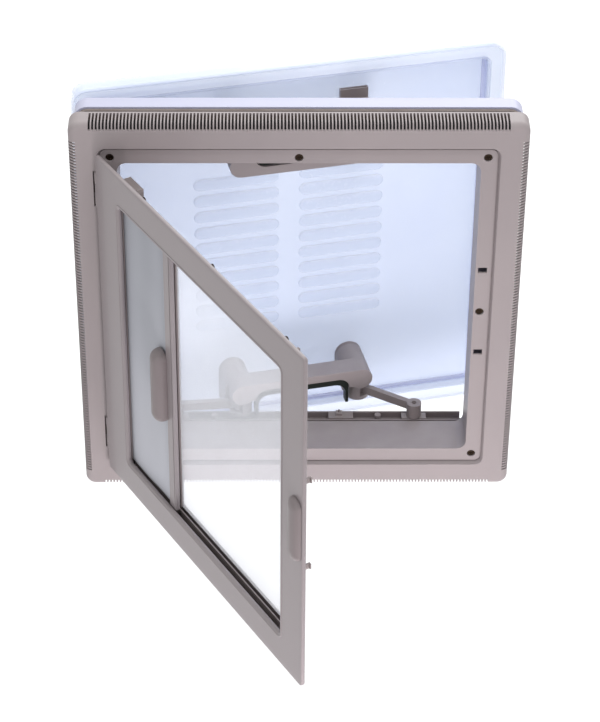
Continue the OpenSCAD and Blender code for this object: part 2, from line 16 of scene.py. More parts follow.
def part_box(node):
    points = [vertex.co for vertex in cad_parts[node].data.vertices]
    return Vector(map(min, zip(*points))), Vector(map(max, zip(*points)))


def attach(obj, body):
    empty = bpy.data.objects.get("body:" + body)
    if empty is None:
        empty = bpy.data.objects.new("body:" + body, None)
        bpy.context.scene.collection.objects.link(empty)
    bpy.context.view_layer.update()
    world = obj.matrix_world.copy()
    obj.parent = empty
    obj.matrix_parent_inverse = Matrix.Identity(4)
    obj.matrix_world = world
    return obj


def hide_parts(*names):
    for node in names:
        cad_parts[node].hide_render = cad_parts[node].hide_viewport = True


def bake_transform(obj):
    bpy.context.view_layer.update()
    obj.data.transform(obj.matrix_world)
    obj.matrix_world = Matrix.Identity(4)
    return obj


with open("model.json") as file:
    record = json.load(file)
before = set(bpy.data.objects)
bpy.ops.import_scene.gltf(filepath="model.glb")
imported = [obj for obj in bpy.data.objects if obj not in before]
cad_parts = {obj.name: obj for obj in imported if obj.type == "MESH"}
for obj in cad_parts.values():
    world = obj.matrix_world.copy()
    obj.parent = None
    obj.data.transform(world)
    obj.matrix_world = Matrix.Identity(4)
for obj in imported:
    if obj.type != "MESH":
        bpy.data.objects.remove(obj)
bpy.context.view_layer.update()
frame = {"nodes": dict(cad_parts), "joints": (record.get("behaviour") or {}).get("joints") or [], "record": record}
nodes = frame["nodes"]
joints = {joint["name"]: joint for joint in frame["joints"]}
slot_of = {part["node"]: part["material_slot"] for part in frame["record"]["subparts"]}
body_of = {
    node: body
    for body, members in frame["record"]["behaviour"]["bodies"].items()
    for node in members
}

# ---- Places ----


def turn(points, centre, angle):
    """Rotates points about a line along Z through centre."""
    c, s = math.cos(angle), math.sin(angle)
    flat = np.asarray(points, float) - centre
    x, y = flat[..., 0], flat[..., 1]
    return np.stack([x * c - y * s, x * s + y * c, flat[..., 2]], -1) + centre


DOOR_HINGE = np.array(joints["door_swing"]["pos_m"])
DOOR_OPEN = -math.radians(joints["door_swing"]["range_deg"][1])
DOME_HINGE = np.array(joints["dome_tilt"]["pos_m"])
DOME_OPEN = -math.radians(joints["dome_tilt"]["range_deg"][0])


def on_door(points):
    """From the shut door to the door as it stands."""
    return turn(points, DOOR_HINGE, DOOR_OPEN)


def on_dome(points):
    """From the shut dome to the dome as it stands."""
    return turn(points, DOME_HINGE, DOME_OPEN)


def shut_box(name, hinge, angle):
    """Lowest and highest corner of a CAD node once it is turned back to shut."""
    mesh = nodes[name].data
    points = np.empty(len(mesh.vertices) * 3)
    mesh.vertices.foreach_get("co", points)
    points = turn(points.reshape(-1, 3), hinge, -angle)
    return points.min(0), points.max(0)


def door_box(name):
    return shut_box(name, DOOR_HINGE, DOOR_OPEN)


def dome_box(name):
    return shut_box(name, DOME_HINGE, DOME_OPEN)


# ---- Shader groups ----


def tone(red, green, blue):
    """A display colour from 0 to 255 as linear light."""
    values = np.array([red, green, blue]) / 255
    linear = np.where(values <= 0.04045, values / 12.92, ((values + 0.055) / 1.055) ** 2.4)
    return (*linear.tolist(), 1.0)


def put(tree, kind, inputs=None, **settings):
    """Adds a node, sets it, and feeds its inputs from sockets or plain values."""
    node = tree.nodes.new("ShaderNode" + kind)
    for key, value in settings.items():
        setattr(node, key, value)
    for key, value in (inputs or {}).items():
        if isinstance(value, bpy.types.NodeSocket):
            tree.links.new(value, node.inputs[key])
        else:
            node.inputs[key].default_value = value
    return node


def sums(tree, operation, first, second=0.0, clamp=False):
    """A Math node's result."""
    node = put(tree, "Math", {0: first, 1: second}, operation=operation, use_clamp=clamp)
    return node.outputs[0]


def blended(tree, factor, first, second):
    """Colour mixed from first to second by factor."""
    node = put(tree, "Mix", {0: factor, 6: first, 7: second}, data_type="RGBA")
    return node.outputs[2]


def effect(name, takes, gives):
    """A shader group with named sockets. Returns the tree, its input sockets and its output node."""
    tree = bpy.data.node_groups.new(name, "ShaderNodeTree")
    for label, (kind, default) in takes.items():
        socket = tree.interface.new_socket(label, in_out="INPUT", socket_type="NodeSocket" + kind)
        if default is not None:
            socket.default_value = default
    for label, kind in gives.items():
        tree.interface.new_socket(label, in_out="OUTPUT", socket_type="NodeSocket" + kind)
    start = tree.nodes.new("NodeGroupInput")
    end = tree.nodes.new("NodeGroupOutput")
    return tree, start.outputs, end


def give(tree, end, **results):
    """Feeds a group's outputs."""
    for label, socket in results.items():
        tree.links.new(socket, end.inputs[label])


GREY = (0.5, 0.5, 0.5, 1.0)
PALE_DUST = (205, 202, 198)
THREAD_EDGE = 40.0


def moulded_grain():
    """Slow colour drift, and the fine pebbled grain of a moulding tool."""
    takes = {"Place": ("Vector", None), "Light": ("Color", GREY), "Deep": ("Color", GREY),
             "Grain": ("Float", 1600.0), "Relief": ("Float", 0.12), "Matt": ("Float", 0.5)}
    tree, given, end = effect("moulded grain", takes,
                              {"Colour": "Color", "Roughness": "Float", "Normal": "Vector"})
    drift = put(tree, "TexNoise", {"Vector": given["Place"], "Scale": 9.0, "Detail": 3.0})
    pebble = put(tree, "TexNoise", {"Vector": given["Place"], "Scale": given["Grain"],
                                    "Detail": 2.0})
    colour = blended(tree, drift.outputs["Fac"], given["Deep"], given["Light"])
    mottle = sums(tree, "MULTIPLY", sums(tree, "SUBTRACT", pebble.outputs["Fac"], 0.5), 0.25)
    swing = sums(tree, "MULTIPLY", sums(tree, "SUBTRACT", drift.outputs["Fac"], 0.5), 0.16)
    rough = sums(tree, "ADD", sums(tree, "ADD", given["Matt"], mottle), swing, clamp=True)
    bump = put(tree, "Bump", {"Strength": given["Relief"], "Distance": 0.0003,
                              "Height": pebble.outputs["Fac"]})
    give(tree, end, Colour=colour, Roughness=rough, Normal=bump.outputs[0])
    return tree


def settled_dust_and_highlight():
    """Pale dust on faces that look up, in soft patches. Made white and heavy, as on the ribs, it is a painted
    highlight on the faces that look up.
    """
    takes = {"Place": ("Vector", None), "Colour": ("Color", GREY), "Amount": ("Float", 0.25),
             "Roughness": ("Float", 0.5), "Dust": ("Color", tone(*PALE_DUST))}
    tree, given, end = effect("settled dust and highlight", takes, {"Colour": "Color", "Roughness": "Float"})
    facing = put(tree, "NewGeometry")
    up = put(tree, "SeparateXYZ", {"Vector": facing.outputs["Normal"]}).outputs["Z"]
    patch = put(tree, "TexNoise", {"Vector": given["Place"], "Scale": 45.0, "Detail": 4.0})
    cover = sums(tree, "MULTIPLY", sums(tree, "MAXIMUM", up, 0.0), patch.outputs["Fac"])
    cover = sums(tree, "MULTIPLY", cover, given["Amount"], clamp=True)
    colour = blended(tree, cover, given["Colour"], given["Dust"])
    rough = sums(tree, "ADD", given["Roughness"], sums(tree, "MULTIPLY", cover, 0.3), clamp=True)
    give(tree, end, Colour=colour, Roughness=rough)
    return tree


def crossed_threads():
    """Two sets of threads across each other. Reads a map in metres."""
    takes = {"Map": ("Vector", None), "Pitch": ("Float", 0.0006), "Width": ("Float", 0.5)}
    tree, given, end = effect("crossed threads", takes, {"Height": "Float", "Cover": "Float"})
    axes = put(tree, "SeparateXYZ", {"Vector": given["Map"]})
    waves = []
    for axis in "XY":
        turns = sums(tree, "DIVIDE", axes.outputs[axis], given["Pitch"])
        wave = sums(tree, "COSINE", sums(tree, "MULTIPLY", turns, 2 * math.pi))
        waves.append(sums(tree, "MULTIPLY_ADD", wave, 0.5))
        waves[-1].node.inputs[2].default_value = 0.5
    height = sums(tree, "MAXIMUM", *waves)
    edge = sums(tree, "SUBTRACT", 1.0, given["Width"])
    over = sums(tree, "SUBTRACT", height, edge)
    cover = sums(tree, "MULTIPLY", over, THREAD_EDGE, clamp=True)
    give(tree, end, Height=height, Cover=cover)
    return tree


GRAIN, DUST_AND_HIGHLIGHT, THREADS = moulded_grain(), settled_dust_and_highlight(), crossed_threads()

# ---- Materials ----


def placed(tree, group, **inputs):
    """Places a shader group in a material. Returns its output sockets."""
    return put(tree, "Group", inputs, node_tree=group).outputs


def blank(name):
    """A material with only its Principled shader, and a point's Object and UV coordinates."""
    material = bpy.data.materials.new(name)
    material.use_nodes = True
    tree = material.node_tree
    shader = tree.nodes["Principled BSDF"]
    place = put(tree, "TexCoord").outputs
    return material, tree, shader, place


def join(tree, shader, **sockets):
    """Feeds the shader's sockets, named with _ for a space."""
    for key, socket in sockets.items():
        tree.links.new(socket, shader.inputs[key.replace("_", " ")])


def plastic(name, light, deep, matt=0.45, grain=1600.0, relief=0.12, dust_and_highlight=0.25, coat=0.0,
            alpha=1.0, painted_glow=0.0, dust_and_highlight_tone=PALE_DUST):
    """Moulded plastic with its grain and a little dust; the same dust, made white and heavy, paints a highlight on
    faces that look up. The glow is painted light: emission that stands in for the daylight thin clear plastic
    passes on."""
    material, tree, shader, place = blank(name)
    grained = placed(tree, GRAIN, Place=place["Object"], Light=tone(*light), Deep=tone(*deep),
                     Grain=grain, Relief=relief, Matt=matt)
    dust_and_highlight_out = placed(tree, DUST_AND_HIGHLIGHT, Place=place["Object"], Colour=grained["Colour"], Amount=dust_and_highlight,
                   Roughness=grained["Roughness"], Dust=tone(*dust_and_highlight_tone))
    join(tree, shader, Base_Color=dust_and_highlight_out["Colour"], Roughness=dust_and_highlight_out["Roughness"],
         Normal=grained["Normal"])
    # Painted light: clear plastics glow by emission, in place of the daylight they pass on.
    if painted_glow:
        join(tree, shader, Emission_Color=dust_and_highlight_out["Colour"])
        shader.inputs["Emission Strength"].default_value = painted_glow
    shader.inputs["IOR"].default_value = 1.48
    shader.inputs["Coat Weight"].default_value = coat
    shader.inputs["Alpha"].default_value = alpha
    return material


def metal(name, light, deep, matt):
    """Bare metal: the same drift of colour as the plastics, with a finer and deeper grain."""
    material, tree, shader, place = blank(name)
    grained = placed(tree, GRAIN, Place=place["Object"], Light=tone(*light), Deep=tone(*deep),
                     Grain=2600.0, Relief=0.2, Matt=matt)
    join(tree, shader, Base_Color=grained["Colour"], Roughness=grained["Roughness"],
         Normal=grained["Normal"])
    shader.inputs["Metallic"].default_value = 1.0
    return material


def blind_weave(name):
    """Close plain weave with slow bands where it has been rolled, and painted light that makes it lighter towards
    its lower edge, over its lowest 0.27 m."""
    material, tree, shader, place = blank(name)
    threads = placed(tree, THREADS, Map=place["UV"], Pitch=0.0009, Width=0.5)
    bands = put(tree, "TexWave", {"Vector": place["UV"], "Scale": 7.0, "Distortion": 2.5,
                                  "Detail": 2.0}, bands_direction="X")
    # Painted light: the cloth is drawn lighter towards its lower edge, as though lit from below.
    painted_light_height = 0.27
    up = put(tree, "SeparateXYZ", {"Vector": place["UV"]}).outputs["Y"]
    painted_light_low = sums(tree, "SUBTRACT", 1.0, sums(tree, "DIVIDE", up, painted_light_height), clamp=True)
    dyed = blended(tree, bands.outputs["Fac"], tone(150, 152, 161), tone(158, 160, 169))
    base = blended(tree, painted_light_low, dyed, tone(190, 191, 200))
    colour = blended(tree, sums(tree, "MULTIPLY", threads["Height"], 0.2), base,
                     tone(190, 193, 201))
    bump = put(tree, "Bump", {"Strength": 0.35, "Distance": 0.00015,
                              "Height": threads["Height"]})
    join(tree, shader, Base_Color=colour, Normal=bump.outputs[0])
    shader.inputs["Roughness"].default_value = 0.82
    shader.inputs["Sheen Weight"].default_value = 0.25
    return material


def insect_mesh(name, light, alpha_low, pitch):
    """Net of crossed threads, with a faint haze of alpha_low between them. It glows a little: painted light
    standing in for daylight through the net.
    """
    material, tree, shader, place = blank(name)
    threads = placed(tree, THREADS, Map=place["UV"], Pitch=pitch, Width=0.045)
    fog = put(tree, "TexNoise", {"Vector": place["UV"], "Scale": 30.0, "Detail": 2.0})
    colour = blended(tree, fog.outputs["Fac"], tone(*[c - 9 for c in light]), tone(*light))
    cover = sums(tree, "MAXIMUM", threads["Cover"], alpha_low)
    bump = put(tree, "Bump", {"Strength": 0.3, "Distance": 0.0002, "Height": threads["Height"]})
    # Painted light: the net glows to stand in for daylight shining through it.
    join(tree, shader, Base_Color=colour, Alpha=cover, Normal=bump.outputs[0],
         Emission_Color=colour)
    shader.inputs["Emission Strength"].default_value = 0.2
    shader.inputs["Roughness"].default_value = 0.7
    return material


finish_of = {
    "frame_plastic": plastic("frame plastic", (160, 150, 151), (146, 137, 139), 0.42),
    "door_plastic": plastic("door plastic", (150, 141, 143), (138, 129, 132), 0.34, coat=0.15),
    "outer_plastic": plastic("outer plastic", (196, 198, 221), (184, 186, 211), 0.35),
    "rail_plastic": plastic("rail plastic", (136, 126, 126), (118, 108, 109), 0.5),
    "arm_plastic": plastic("arm plastic", (148, 138, 138), (130, 120, 120), 0.45),
    "gauze": plastic("gauze", (14, 13, 14), (6, 6, 7), 0.8, grain=2500.0, relief=0.8, dust_and_highlight=0),
    "seal": plastic("seal rubber", (38, 37, 38), (24, 23, 24), 0.7, grain=900.0),
    "dark_plastic": plastic("dark plastic", (72, 66, 65), (54, 49, 48), 0.5),
    "liner": plastic("liner", (30, 38, 32), (16, 22, 18), 0.55, dust_and_highlight=0.1),
    "dome_plastic": plastic("dome plastic", (224, 231, 244), (212, 221, 240), 0.12, grain=220.0,
                            relief=0.04, dust_and_highlight=0.05, coat=0.12, alpha=0.5, painted_glow=0.17),
    "pane_plastic": plastic("pane plastic", (212, 220, 236), (202, 211, 230), 0.2, grain=260.0,
                            relief=0.05, dust_and_highlight=0.05, coat=0.1, alpha=0.4, painted_glow=0.2),
    "rim_plastic": plastic("rim plastic", (236, 241, 248), (228, 234, 245), 0.25, alpha=0.45,
                           painted_glow=0.2),
    "steel": metal("steel", (200, 200, 203), (170, 170, 174), 0.3),
    "screw_steel": metal("screw steel", (82, 68, 58), (52, 42, 35), 0.42),
    "roller_alu": metal("roller aluminium", (214, 216, 219), (190, 192, 196), 0.32),
    "blind_cloth": blind_weave("blind weave"),
    "mesh": insect_mesh("flyscreen net", (246, 248, 254), 0.13, 0.0012),
}
# Painted highlight: white dust at amount 1.4 lightens the ribs' upper flanks as if lit from above; the glow is
# painted light too.
RIB_FINISH = plastic("rib", (206, 216, 234), (196, 207, 228), 0.22, grain=300.0, relief=0.04,
                     dust_and_highlight=1.4, coat=0.1, alpha=0.36, painted_glow=0.12, dust_and_highlight_tone=(255, 255, 255))
GRIP_FINISH = plastic("grip", (132, 122, 123), (118, 108, 110), 0.36, coat=0.1)
LIP_FINISH = plastic("pane lip", (212, 218, 246), (202, 209, 240), 0.3, alpha=0.9, painted_glow=0.05)
# Dark brown that is partly painted shade: it stands in for the shade in the roof gap as well as for the tape.
TAPE_AND_GAP_SHADE_FINISH = plastic("tape and gap shade", (116, 103, 99), (98, 85, 80), 0.75, grain=700.0, relief=0.5)

# ---- Mesh helpers ----


def new_piece(name, mesh, body, slot, replaced=(), finish=None):
    """An object for a finished mesh, riding on its body with its finish."""
    piece = bpy.data.objects.new(name, mesh)
    bpy.context.scene.collection.objects.link(piece)
    mesh.materials.clear()
    mesh.materials.append(finish or finish_of[slot])
    if replaced:
        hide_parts(*replaced)
    if body:
        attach(piece, body)
    return piece


def smooth(mesh, angle):
    """Smooth shading, with edges sharper than angle left crisp."""
    mesh.shade_smooth()
    mesh.set_sharp_from_angle(angle=math.radians(angle))


def surface(name, grid, body, slot, replaced=(), wrap=(False, False), uv=None, closed=True,
            crisp=40, finish=None):
    """A mesh from rows and columns of points. wrap joins the last row or column to the first.
    Doubles at poles are merged, and a closed form has its normals turned outwards."""
    n, m = grid.shape[:2]
    i = np.arange(n if wrap[0] else n - 1)[:, None]
    j = np.arange(m if wrap[1] else m - 1)[None, :]
    i2, j2 = (i + 1) % n, (j + 1) % m
    faces = np.stack([i * m + j, i2 * m + j, i2 * m + j2, i * m + j2], -1).reshape(-1, 4)
    mesh = bpy.data.meshes.new(name)
    mesh.from_pydata(grid.reshape(-1, 3).tolist(), [], faces.tolist())
    if uv is not None:
        layer = mesh.uv_layers.new(name="map")
        layer.data.foreach_set("uv", uv.reshape(-1, 2)[faces.ravel()].ravel())
    shape = bmesh.new()
    shape.from_mesh(mesh)
    bmesh.ops.remove_doubles(shape, verts=shape.verts, dist=1e-6)
    if closed:
        bmesh.ops.recalc_face_normals(shape, faces=shape.faces)
    shape.to_mesh(mesh)
    shape.free()
    smooth(mesh, crisp)
    return new_piece(name, mesh, body, slot, replaced, finish)


def modified(piece, kind, **settings):
    """Adds a modifier and sets it."""
    modifier = piece.modifiers.new(kind.lower(), kind)
    for key, value in settings.items():
        setattr(modifier, key, value)


def rounded_copy(name, width):
    """A merged copy of a CAD node with its sharp edges rounded off by width, or left sharp
    where width is 0."""
    mesh = nodes[name].data.copy()
    shape = bmesh.new()
    shape.from_mesh(mesh)
    bmesh.ops.remove_doubles(shape, verts=shape.verts, dist=2e-6)
    bmesh.ops.dissolve_limit(shape, angle_limit=math.radians(0.6), verts=shape.verts,
                             edges=shape.edges)
    shape.to_mesh(mesh)
    shape.free()
    smooth(mesh, 30)
    piece = new_piece(name + "_finished", mesh, body_of[name], slot_of[name], [name])
    if width:
        modified(piece, "BEVEL", width=width, segments=2, limit_method="ANGLE",
                 angle_limit=math.radians(32), harden_normals=True, use_clamp_overlap=True)


def round_path(half_x, half_z, radius, steps=9):
    """Points round a rectangle with round corners: a quarter circle at each corner.
    The sizes may be columns, which gives one path a row."""
    corner = np.arange(4).repeat(steps)
    angle = corner * math.pi / 2 + np.tile(np.linspace(0, math.pi / 2, steps), 4)
    sign_x = np.array([1, -1, -1, 1])[corner]
    sign_z = np.array([1, 1, -1, -1])[corner]
    x = sign_x * (half_x - radius) + radius * np.cos(angle)
    z = sign_z * (half_z - radius) + radius * np.sin(angle)
    return x, z


def column(values):
    """Values as one column, one a row."""
    return np.asarray(values, float)[:, None]


def spread(x, z, y):
    """Rows of x and z with a height y each, as points."""
    y = np.broadcast_to(column(y), x.shape)
    return np.stack([x, y, z], -1)


def squared(wave, power):
    """A sine or cosine raised to power with its sign kept: it squares a round outline off."""
    return np.sign(wave) * np.abs(wave) ** power


def tube(centres, radius, sides):
    """A tube of radius along centres: circles square to the path, on frames carried along it."""
    along = np.gradient(centres, axis=0)
    along /= np.linalg.norm(along, axis=1, keepdims=True)
    side = np.cross(along, [0.0, 1.0, 0.0])
    side /= np.linalg.norm(side, axis=1, keepdims=True)
    other = np.cross(along, side)
    a = np.linspace(0, 2 * math.pi, sides, endpoint=False)
    ring = side[:, None] * np.cos(a)[None, :, None] + other[:, None] * np.sin(a)[None, :, None]
    body = centres[:, None] + radius * ring
    ends = [np.repeat(centres[k][None, None], sides, 1) for k in (0, -1)]
    return np.concatenate([ends[0], body, ends[1]], 0)


# ---- Rounded CAD pieces ----

ROUNDING = {
    0.0009: ["inner_frame", "outer_frame", "blind_bar", "screen_bar"],
    0.0016: ["stay_bar_lower", "stay_bar_upper"],
    0.001: ["right_arm_lower", "right_arm_upper", "left_arm_lower", "left_arm_upper"],
    0.0006: ["right_foot_lower", "right_foot_upper", "left_foot_lower", "left_foot_upper",
             "dome_rim", "stay_bar_liners", "blind_cassette", "stay_rail_lower",
             "stay_rail_upper"],
    0.0004: ["rail_catches", "stay_bar_pads", "door_back_rails", "door_back_stiles",
             "cassette_caps", "screen_cover", "blind_roller", "screen_roller"],
    0.00025: ["frame_screws", "hinge_knuckles_fixed", "hinge_pins", "pivot_pins",
              "hinge_knuckles_door", "door_screws", "blind_shoes", "screen_shoes",
              "latch_hooks"],
    0.0: ["vent_grille_top", "vent_grille_bottom", "vent_grille_left", "vent_grille_right",
          "vent_gauze"],
}
for width, names in ROUNDING.items():
    for name in names:
        rounded_copy(name, width)

# ---- Dome ----


def outward(piece):
    """Turns an open shell's faces so that most of it looks out through the roof."""
    shape = bmesh.new()
    shape.from_mesh(piece.data)
    if sum(face.normal.y * face.calc_area() for face in shape.faces) < 0:
        bmesh.ops.reverse_faces(shape, faces=shape.faces)
    shape.to_mesh(piece.data)
    shape.free()


def dome_shell():
    """Rounded square carried up a profile: a sloping side, a quarter turn into the crown, and
    the crown drawn in to its middle, with a raised panel that a cosine step lifts."""
    low, high = dome_box("outer_dome")
    half, lean, turn_r, corner = high[0], 0.005, 0.009, 0.016
    panel, step_from, step_wide = 0.003, 0.13, 0.05
    rise = high[1] - low[1] - panel
    side = np.linspace(0, 1, 5)[:-1]
    bend = np.linspace(0, math.pi / 2, 9)
    flat = np.concatenate([[0.05, 0.1], np.linspace(step_from, step_from + step_wide, 9),
                           np.linspace(0.25, 1, 8)])
    inset_side = side * lean * (rise - turn_r) / rise
    inset_bend = lean * (rise - turn_r) / rise + turn_r * (1 - np.cos(bend))
    inset = np.concatenate([inset_side, inset_bend])
    height = np.concatenate([side * (rise - turn_r), rise - turn_r + turn_r * np.sin(bend)])
    reach = half - inset
    reach = np.concatenate([reach, reach[-1] * (1 - flat)])
    step = 0.5 - 0.5 * np.cos(math.pi * np.clip((flat - step_from) / step_wide, 0, 1))
    height = np.concatenate([height, rise + panel * step])
    radius = np.concatenate([corner - inset * 0.6, (corner - inset[-1] * 0.6) * (1 - flat)])
    x, z = round_path(column(reach), column(reach), column(radius), 11)
    grid = spread(x, z, low[1] + height)
    piece = surface("dome_shell", on_dome(grid), "dome", "dome_plastic", ["outer_dome"],
                    wrap=(False, True), closed=False, crisp=50)
    outward(piece)
    modified(piece, "SOLIDIFY", thickness=0.003, offset=-1.0, use_even_offset=True)


PANE_WALL = 0.0025


def pane_tray():
    """Flat clear tray that closes the opening: a round-cornered wall, a quarter turn, and a
    flat face drawn in to its middle."""
    low, high = dome_box("inner_pane")
    half, bend = high[0], np.linspace(0, math.pi / 2, 7)
    turn_r, corner = 0.0022, 0.010
    inward = np.linspace(1, 0, 12)[1:]
    inset = np.concatenate([[0, 0], turn_r * (1 - np.cos(bend))])
    height = np.concatenate([[low[1], (low[1] + high[1]) / 2],
                             high[1] - turn_r * (1 - np.sin(bend))])
    reach = np.concatenate([half - inset, (half - turn_r) * inward])
    height = np.append(height, np.full(len(inward), high[1]))
    radius = np.concatenate([corner - inset * 0.8, (corner - 0.8 * turn_r) * inward])
    x, z = round_path(column(reach), column(reach), column(radius), 7)
    grid = spread(x, z, height)
    piece = surface("pane_tray", on_dome(grid), "dome", "pane_plastic", ["inner_pane"],
                    wrap=(False, True), closed=False, crisp=50)
    outward(piece)
    modified(piece, "SOLIDIFY", thickness=PANE_WALL, offset=-1.0, use_even_offset=True)


def pane_lip():
    """Lavender lip moulded along the pane's edge on the room side: a flattened outline carried
    round the pane."""
    _, high = dome_box("inner_pane")
    inset, below, wide, thick, corner = 0.0036, 0.0031, 0.0034, 0.0007, 0.0064
    a = np.linspace(0, 2 * math.pi, 13)[:-1]
    square = squared(np.cos(a), 0.5)
    reach = high[0] - inset + wide * square
    height = high[1] - below + thick * np.sin(a)
    x, z = round_path(column(reach), column(reach), column(corner + wide * square))
    surface("pane_lip", on_dome(spread(x, z, height)), "dome", "rim_plastic",
            wrap=(True, True), finish=LIP_FINISH)


def seal_bulb():
    """The dome's rubber seal: a flattened round outline carried round the upstand."""
    low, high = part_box("dome_seal")
    bulb, corner = 0.0035, 0.013
    a = np.linspace(0, 2 * math.pi, 17)[:-1]
    reach = high[0] - bulb + bulb * np.cos(a)
    height = (low[1] + high[1]) / 2 + (high[1] - low[1]) / 2 * squared(np.sin(a), 0.7)
    x, z = round_path(column(reach), column(reach), column(corner + bulb * np.cos(a)))
    surface("seal_bulb", spread(x, z, height), "frame", "seal", ["dome_seal"],
            wrap=(True, True))


def rib_caps():
    """Raised ribs on the pane: each is an oval outline drawn in by a quarter turn as it rises.
    They repeat in rows and columns."""
    _, high = dome_box("inner_pane")
    face = high[1] - PANE_WALL
    half_long, half_tall, rows = 0.0462, 0.0074, 10
    across, pitch, edge, proud = 0.057, 0.0202, 0.0035, 0.0014
    rise = np.linspace(0, math.pi / 2, 6)
    inset = edge * (1 - np.cos(rise))
    reach_x = np.append(half_long - inset, [0.030, 0.0002])
    reach_z = np.append(half_tall - inset, [0.0015, 0.0002])
    height = np.append(proud * np.sin(rise), [0.0015, 0.0015])
    radius = np.minimum(reach_z - 0.0001, reach_x - 0.0001)
    x, z = round_path(column(reach_x), column(reach_z), column(radius), 7)
    cap = spread(x, z, face - height)
    for side in (-1, 1):
        for row in range(rows):
            middle = np.array([side * across, 0, (row - (rows - 1) / 2) * pitch])
            surface(f"rib_cap_{row}_{'left' if side < 0 else 'right'}", on_dome(cap + middle),
                    "dome", "pane_plastic", wrap=(False, True), crisp=60, finish=RIB_FINISH)


def tape_and_gap_shade():
    """Flat band of brown tape on the outer flange, where the roof lies against it: a rounded outline carried round
    the flange. Its dark brown is both the tape's colour and painted shade for the roof gap it fills."""
    low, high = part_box("outer_frame")
    a = np.linspace(0, 2 * math.pi, 13)[:-1]
    inset, wide, thick, corner = 0.0012, 0.0095, 0.0026, 0.004
    square = squared(np.cos(a), 0.4)
    reach = high[0] - inset - wide + wide * square
    height = low[1] - thick + thick * squared(np.sin(a), 0.4)
    x, z = round_path(column(reach), column(reach), column(corner + wide * (1 + square) / 2))
    surface("tape_and_gap_shade", spread(x, z, height), "frame", "rail_plastic",
            wrap=(True, True), finish=TAPE_AND_GAP_SHADE_FINISH)


dome_shell()
pane_tray()
pane_lip()
seal_bulb()
rib_caps()
tape_and_gap_shade()

# ---- Door ----

DOOR_LOW, DOOR_HIGH = door_box("door_front")
HALF_DOOR = DOOR_HIGH[0]
WINDOW_LEFT = -HALF_DOOR + 0.046
WINDOW_RIGHT = HALF_DOOR - 0.041
WINDOW_HALF = HALF_DOOR - 0.037
WINDOW_CORNER = 0.004
WINDOW_MID = (WINDOW_LEFT + WINDOW_RIGHT) / 2
WINDOW_WIDE = (WINDOW_RIGHT - WINDOW_LEFT) / 2
FRONT = DOOR_LOW[1]
PLATE = 0.0045
BACK = FRONT + PLATE


def door_panel():
    """Plate with a window: closed outline from the outer edge, over a rounded shoulder, across
    the face, down a soft shoulder into the window, and back along the rear face."""
    shoulder = np.linspace(0, math.pi / 2, 6)
    soft, chamfer, corner = 0.0016, 0.0008, 0.004
    out_a = soft * (1 - np.cos(shoulder))
    y_a = FRONT + soft * (1 - np.sin(shoulder))
    lip = 0.0022
    y_b = FRONT + lip * (1 - np.sin(shoulder[::-1]))
    in_b = lip * (1 - np.cos(shoulder[::-1]))
    from_out = [chamfer, 0, *out_a, 0.006]
    from_win = [0.010, 0.0046, *in_b, 0.0, 0.0006, 0.006]
    y = [BACK, BACK - chamfer, *y_a, FRONT, FRONT, FRONT, *y_b, BACK - chamfer, BACK, BACK]
    f, g = column(from_out), column(from_win)
    x1, z1 = round_path(HALF_DOOR - f, HALF_DOOR - f, np.maximum(corner - f, 0.001))
    x2, z2 = round_path(WINDOW_WIDE + g, WINDOW_HALF + g, WINDOW_CORNER + g)
    x = np.concatenate([x1, x2 + WINDOW_MID])
    z = np.concatenate([z1, z2])
    surface("door_panel", on_door(spread(x, z, np.array(y))), "door", "door_plastic",
            ["door_front"], wrap=(True, True), crisp=50)


def window_bead():
    """Half-round bead that runs round the window on the door's face."""
    set_out, half_wide, proud, sunk = 0.0036, 0.0009, 0.0007, 0.0008
    a = np.linspace(0, math.pi, 7)
    out = set_out + half_wide * np.cos(a)
    y = FRONT + 0.0001 - proud * np.sin(a)
    out, y = np.append(out, out[::-1]), np.append(y, np.full(len(a), FRONT + sunk))
    g = column(out)
    x, z = round_path(WINDOW_WIDE + g, WINDOW_HALF + g, WINDOW_CORNER + g)
    surface("window_bead", on_door(spread(x + WINDOW_MID, z, y)), "door",
            "door_plastic", wrap=(True, True))


def pull_handle(name, node, body, x, y, reach, half_w, half_l, z):
    """Long pull: an outline with round ends, drawn in by a superellipse as it rises, with a
    shallow finger hollow along one flank."""
    roundness, hollow_deep = 2.6, 0.0022
    rise = np.linspace(0, 1, 13)
    inset = (1 - np.sqrt(np.clip(1 - rise**roundness, 0, 1))) * half_w
    inset[-1] = half_w - 0.0002
    w, length = half_w - column(inset), half_l - column(inset) * 1.3
    px, pz = round_path(w, length, w * 0.96, 11)
    hollow = hollow_deep * np.exp(-((pz / half_l) ** 2) * 5) * column(np.sin(rise * math.pi))
    px = px - np.where(px > 0, hollow, 0)
    rows = spread(px + x, pz + z, y - reach * rise)
    cap = np.broadcast_to([[[x, y - reach, z]]], (1, rows.shape[1], 3))
    foot = np.broadcast_to([[[x, y, z]]], (1, rows.shape[1], 3))
    grid = np.concatenate([foot, rows, cap])
    surface(name, on_door(grid), body, "door_plastic", [node], wrap=(False, True), crisp=60,
            finish=GRIP_FINISH)


def handles():
    """The door's pull and the blind's, each where its CAD solid is."""
    low, high = door_box("door_grip")
    half_w, door_reach, inset = 0.0098, 0.0068, 0.010
    pull_handle("door_pull", "door_grip", "door_latch", (low[0] + high[0]) / 2, FRONT - 0.0003,
                door_reach, half_w, (high[2] - low[2]) / 2, (low[2] + high[2]) / 2)
    low, high = door_box("blind_grip")
    bar_low, _ = door_box("blind_bar")
    pull_handle("blind_pull_grip", "blind_grip", "blind_pull", low[0] + inset,
                bar_low[1] - 0.0001, bar_low[1] - low[1], half_w, (high[2] - low[2]) / 2,
                (low[2] + high[2]) / 2)


door_panel()
window_bead()
handles()

# ---- Blind and flyscreen ----


